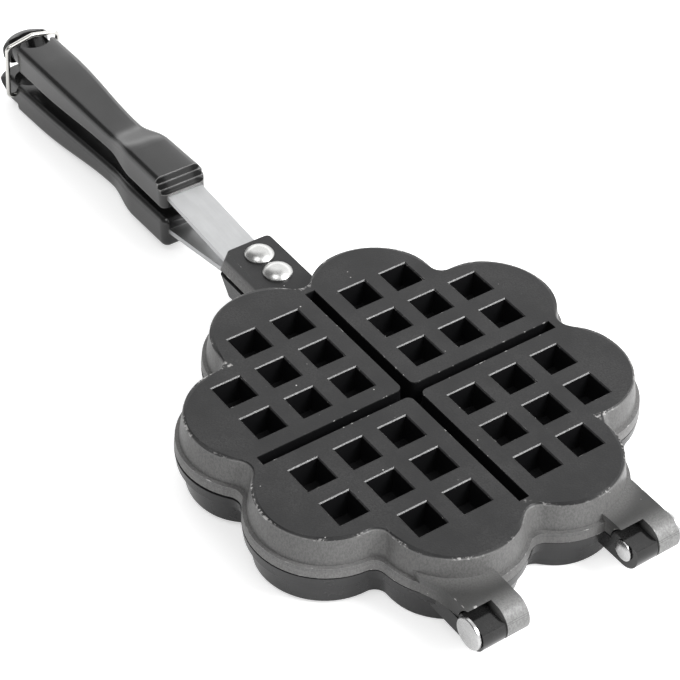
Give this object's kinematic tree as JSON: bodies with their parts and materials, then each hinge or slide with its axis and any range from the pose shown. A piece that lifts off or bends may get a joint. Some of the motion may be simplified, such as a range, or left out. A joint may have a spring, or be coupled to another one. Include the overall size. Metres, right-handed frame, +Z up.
{
  "type": "stovetop waffle iron",
  "caption": "Hinged stovetop waffle iron: two flower-shaped cast pans baking heart waffles, strip handles with moulded grips, and a wire bail that holds the grips together.",
  "frame": {"origin": "on the worktop, under the middle of the closed iron's bounding box as it stands", "axes": "+X from the grips towards the hinge, +Y to the left seen from the grips' end looking towards the hinge, +Z up"},
  "size_m": [0.4008, 0.1636, 0.0388],
  "materials": {
    "pan_coating": "cast aluminium with a dark satin non-stick coat",
    "strip_steel": "bright steel strip",
    "grip_moulding": "glossy black thermoset moulding",
    "rivet_metal": "bright aluminium rivet",
    "pin_metal": "bright steel pin",
    "bail_wire": "plated spring wire"
  },
  "bodies": {
    "lower_half": {"lower_pan": "pan_coating", "lower_strip": "strip_steel", "lower_grip": "grip_moulding", "rivet_lower_near": "rivet_metal", "rivet_lower_far": "rivet_metal", "hinge_pin_left": "pin_metal", "hinge_pin_right": "pin_metal"},
    "upper_half": {"upper_pan": "pan_coating", "upper_strip": "strip_steel", "upper_grip": "grip_moulding", "rivet_upper_near": "rivet_metal", "rivet_upper_far": "rivet_metal"},
    "latch": {"latch_bail": "bail_wire"}
  },
  "joints": [
    {"name": "lid_hinge", "type": "hinge", "parent": "lower_half", "child": "upper_half", "pos_m": [0.1934, 0, 0.01484], "axis": [0, 1, 0], "range_deg": [-0.6, 176]},
    {"name": "latch_swing", "type": "hinge", "parent": "lower_half", "child": "latch", "pos_m": [-0.18561, 0, 0.00771], "axis": [0, -1, 0], "range_deg": [0, 110]}
  ]
}
